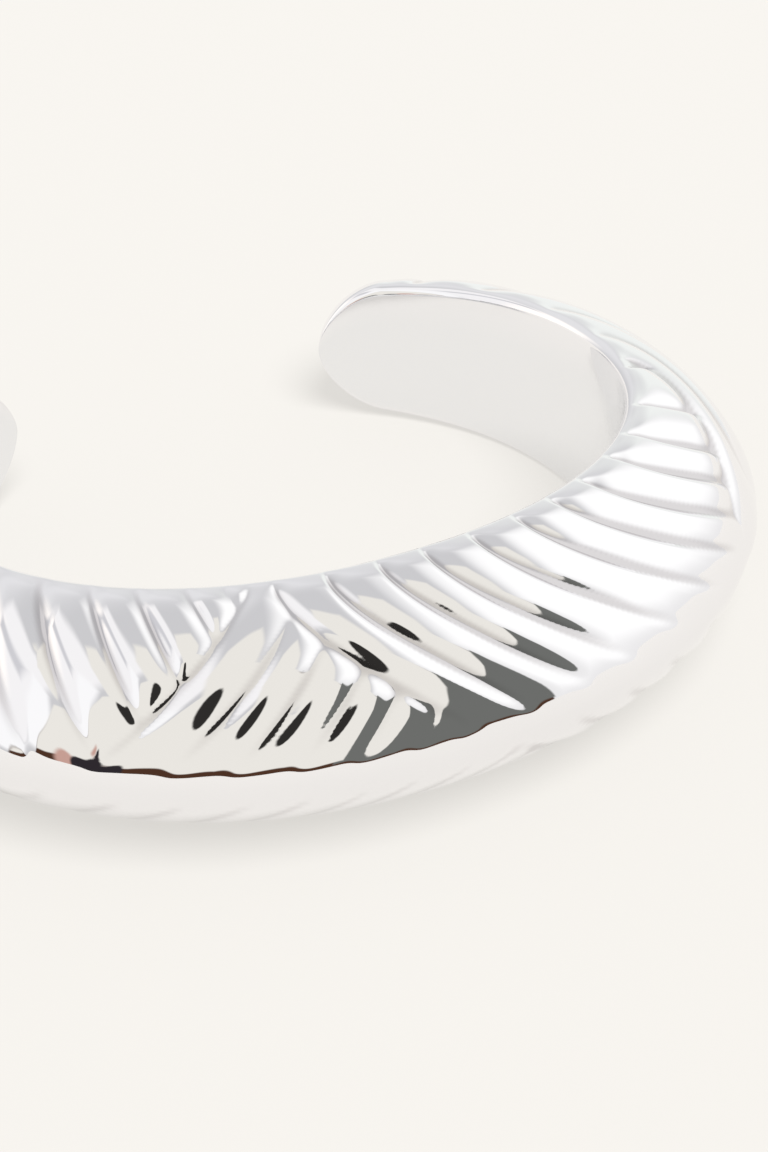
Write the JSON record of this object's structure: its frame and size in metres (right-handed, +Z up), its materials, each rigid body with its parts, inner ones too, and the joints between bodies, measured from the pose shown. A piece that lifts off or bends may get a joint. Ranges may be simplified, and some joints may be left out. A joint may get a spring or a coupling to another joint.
{
  "type": "cuff bracelet",
  "caption": "Open cuff bracelet: a domed band with slanting raised ribs, a smooth inner face and rounded tips, slipped over the wrist through its gap.",
  "frame": {"origin": "middle of the cuff's own box, on the surface that it rests on", "axes": "+X across the wrist, the long way of the oval; +Y towards the gap between the tips; +Z up, along the wrist, with the cuff lying on its side"},
  "size_m": [0.078, 0.0636, 0.0185],
  "materials": {
    "polished_metal": "mirror polished, silver tone"
  },
  "bodies": {
    "root": {"cuff": "polished_metal"}
  },
  "joints": []
}
